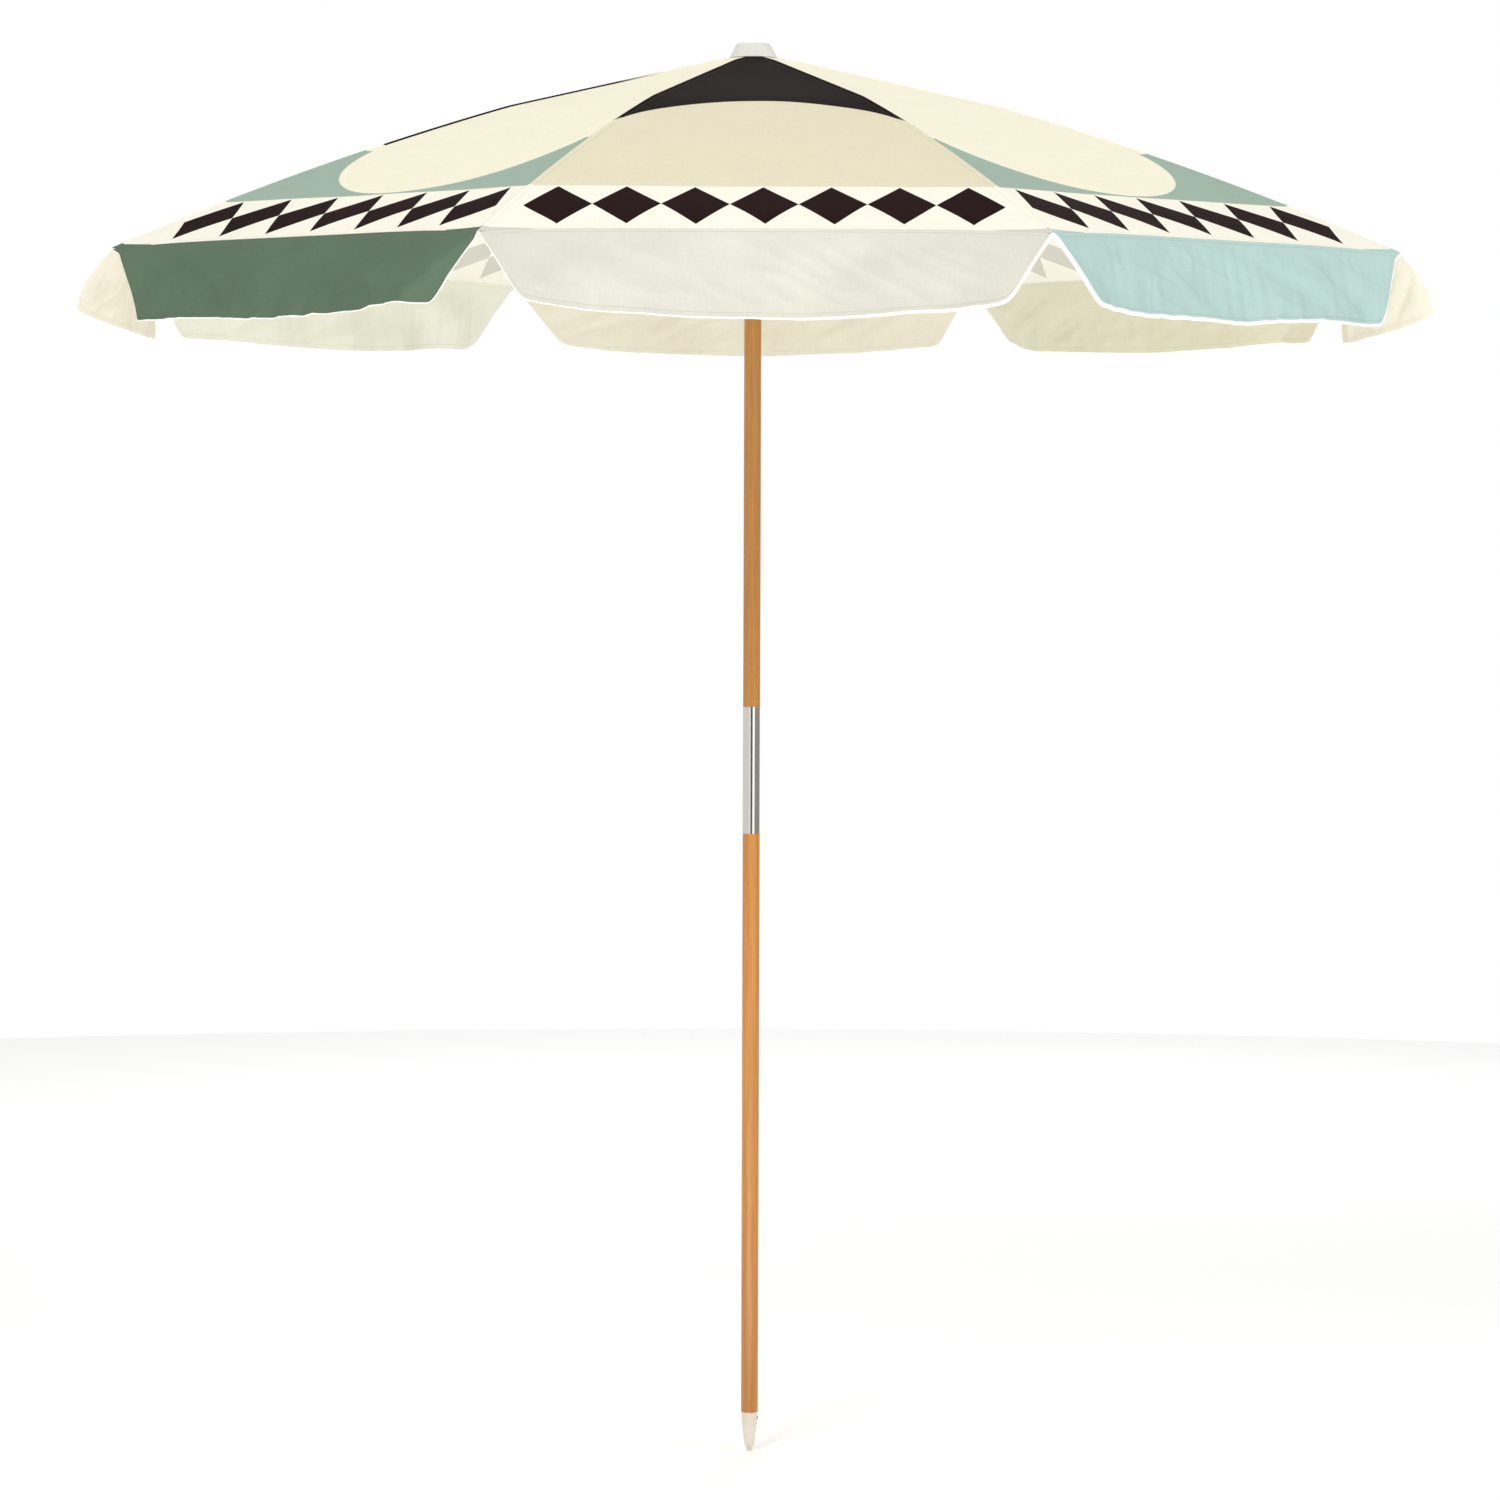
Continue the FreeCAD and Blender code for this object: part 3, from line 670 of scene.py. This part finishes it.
def make_piece(name, parts, materials, body, thick=True):
    """An object from (bmesh, material index) pairs that rides on a body. thick gives it an inner side."""
    bm = join(parts)
    mesh = bpy.data.meshes.new(name)
    for f in bm.faces:
        f.smooth = True
    for e in bm.edges:
        e.smooth = not e.is_boundary
    bm.to_mesh(mesh)
    bm.free()
    for m in materials:
        mesh.materials.append(m)
    obj = bpy.data.objects.new(name, mesh)
    bpy.context.scene.collection.objects.link(obj)
    if thick:
        shell = obj.modifiers.new("cloth", "SOLIDIFY")
        shell.thickness, shell.offset, shell.material_offset, shell.use_even_offset = CLOTH, -1.0, 1, False
    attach(obj, body)
    return obj


def side_of(bm, i, side, gore, gap):
    """The part of a panel's bmesh that belongs to one side of rib i: the strip along the rib, or the gore beyond it."""
    middle = rib_azimuth(i) + side * HALF
    outward = Vector((-math.sin(middle), math.cos(middle), 0)) * side
    point, normal = fold_plane(i, side, gap)
    return part_of(bm, [(Vector((0, 0, 0)), outward), (point, -normal if gore else normal)])


def placed(bm, k):
    """A panel's bmesh turned to its place; panel k lies between ribs k and k + 1."""
    bmesh.ops.rotate(bm, verts=bm.verts, cent=(0, 0, 0), matrix=Matrix.Rotation(rib_azimuth(k) + HALF, 3, "Z"))
    return bm


def skins(kind, k, lapped=False):
    """Materials of a piece of panel k: the outer one, then the inner one."""
    if kind == "canopy":
        outer, inner, lap = PANEL_SKINS[k]
        return [lap if lapped else outer, inner]
    if kind == "flap":
        return [FLAP_OUT[FLAP_ORDER[k]], FLAP_IN[FLAP_ORDER[k]]]
    return [PIPING]


def build_cloth():
    """Per rib, one strip that lies over it and a gore on each side, for the panels, the flaps and the piping."""
    kinds = {
        "canopy": ([placed(panel_mesh(k), k) for k in range(RIBS)], "stretched"),
        "flap": ([placed(flap_mesh(k), k) for k in range(RIBS)], "hung"),
        "piping": ([placed(piping_mesh(k), k) for k in range(RIBS)], None),
    }
    made = {}
    for kind, (sheets, held) in kinds.items():
        gap = PLEAT_GAP[kind]
        for i in range(RIBS):
            sides = {1: i, -1: (i - 1) % RIBS}
            parts, materials = [], []
            for side, k in sides.items():
                parts.append((side_of(sheets[k], i, side, False, gap), len(materials)))
                materials += skins(kind, k, side > 0)
            pieces = [(f"{kind}_strip_{i + 1}", parts, materials, None)]
            for side, k in sides.items():
                name = f"{kind}_gore_{i + 1}_{'a' if side > 0 else 'b'}"
                pieces.append((name, [(side_of(sheets[k], i, side, True, gap), 0)], skins(kind, k), side))
            for name, these, mats, side in pieces:
                flats = [flat_size(bm, kind, side) for bm, _ in these]
                obj = make_piece(name, these, mats, f"rib_body_{i + 1}", thick=kind != "piping")
                made[name] = Cloth(obj, kind, flats, held, side, i)
    return made


def finish_cloth(made):
    for piece in made.values():
        canopy = piece.kind == "canopy"
        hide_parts(f"{'canopy' if canopy else 'valance'}_{piece.rib + 1}")
        if piece.side is not None:
            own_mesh(piece.obj)
    for name, piece in made.items():
        if piece.held is None:
            continue


# ---------------------------------------------------------------- studio
def floor():
    bpy.ops.mesh.primitive_circle_add(vertices=96, radius=7.0, fill_type="NGON", location=(0, 0, 0))
    disc = bpy.context.object
    disc.name = "floor"
    g = Paint("floor_paint", Roughness=0.9, Specular_IOR_Level=0.1)
    soft = g.noise(g.position(), 0.7, 3.0)
    g.link(g.mix(soft, srgb(251, 251, 250), srgb(254, 254, 254)), g.bsdf.inputs["Base Color"])
    disc.data.materials.append(g.mat)


def room():
    """A white room, dimmer overhead. Low down, the steel sleeve mirrors a dark stretch in front and to the right with
    a bright strip in it, and a dimmer stretch to the left."""
    world = bpy.data.worlds.new("studio")
    bpy.context.scene.world = world
    world.use_nodes = True
    g = Graph(world.node_tree)
    way = g.split(g.tree.nodes.new("ShaderNodeTexCoord").outputs["Generated"])
    turn = g.math("ARCTAN2", way["X"], g.math("MULTIPLY", way["Y"], -1.0))   # from the front, anticlockwise

    def fade(x, low, high, to_low, to_high):
        return g.span(x, math.radians(low), math.radians(high), to_low, to_high)

    def around(middle, inner, outer):
        return fade(g.math("ABSOLUTE", g.math("SUBTRACT", turn, middle)), inner, outer, 1, 0)

    low = g.math("MULTIPLY", g.span(way["Z"], -0.30, -0.24, 0, 1), g.span(way["Z"], -0.01, 0.03, 1, 0))
    right = g.math("MULTIPLY", g.math("MULTIPLY", fade(turn, -18, -10, 0, 1), fade(turn, 125, 145, 1, 0)), low)
    left = g.math("MULTIPLY", g.math("MULTIPLY", fade(turn, -165, -150, 0, 1), fade(turn, -30, -18, 1, 0)), low)
    front = g.math("MULTIPLY", right, around(-0.05, 5, 10))
    strip = g.math("MULTIPLY", low, around(0.48, 7, 12))
    tone = g.mix(g.span(way["Z"], 0.10, 0.35, 0.0, 1.0), (1.0, 1.0, 1.0, 1.0), (0.72, 0.72, 0.72, 1.0))
    tone = g.mix(left, tone, (0.68, 0.67, 0.64, 1.0))
    tone = g.mix(right, tone, (0.27, 0.265, 0.245, 1.0))
    tone = g.mix(front, tone, (0.04, 0.039, 0.035, 1.0))
    back = g.tree.nodes["Background"]
    g.link(g.mix(strip, tone, (1.9, 1.9, 1.85, 1.0)), back.inputs["Color"])
    back.inputs["Strength"].default_value = 1.0


def lamp(name, place, target, size, power, colour):
    """A round soft light that the camera doesn't see."""
    data = bpy.data.lights.new(name, "AREA")
    data.shape, data.size, data.energy, data.color = "DISK", size, power, colour
    obj = bpy.data.objects.new(name, data)
    obj.location = place
    obj.rotation_euler = (Vector(target) - Vector(place)).to_track_quat("-Z", "Y").to_euler()
    obj.visible_camera = False
    bpy.context.scene.collection.objects.link(obj)


def lamps():
    lamp("key", (-2.4, -6.0, 5.6), (0, 0, 1.7), 2.4, 170.0, (1.0, 0.99, 0.975))
    lamp("fill", (5.5, -3.6, 4.4), (0, 0, 1.8), 3.0, 75.0, (0.98, 0.99, 1.0))
    lamp("back", (1.5, 6.0, 4.5), (0, 0, 1.9), 3.0, 45.0, (1.0, 1.0, 1.0))
    lamp("floor_wash", (0.0, 4.6, 5.0), (0, 4.62, 0.0), 4.0, 55.0, (1.0, 1.0, 1.0))
    lamp("bounce", (0.0, -1.7, 0.06), (0, -1.68, 2.0), 2.2, 26.0, (1.0, 1.0, 0.99))


CAMERA_DISTANCE, CAMERA_HEIGHT = 8.68, 1.555
CAMERA_TURN, CAMERA_TILT, CAMERA_ROLL = math.radians(1.05), math.radians(2.657), math.radians(0.18)
CAMERA_PAN = math.radians(0.016)
FOCAL_IN_WIDTHS = 3.545


def camera():
    """The camera stands in front, a little to the left of the pole, and looks slightly down."""
    data = bpy.data.cameras.new("camera")
    data.sensor_width = 36.0
    data.lens = 36.0 * FOCAL_IN_WIDTHS
    data.clip_end = 200.0
    obj = bpy.data.objects.new("camera", data)
    bpy.context.scene.collection.objects.link(obj)
    beside, before = -CAMERA_DISTANCE * math.sin(CAMERA_TURN), -CAMERA_DISTANCE * math.cos(CAMERA_TURN)
    obj.location = (beside, before, CAMERA_HEIGHT)
    turn = Matrix.Rotation(CAMERA_PAN - CAMERA_TURN, 4, "Z") @ Matrix.Rotation(math.pi / 2 - CAMERA_TILT, 4, "X")
    turn = turn @ Matrix.Rotation(CAMERA_ROLL, 4, "Z")
    obj.rotation_euler = turn.to_euler()
    bpy.context.scene.camera = obj


dress_frame()
finish_cloth(build_cloth())
floor()
room()
lamps()
camera()
bpy.context.scene.view_settings.view_transform = "Standard"
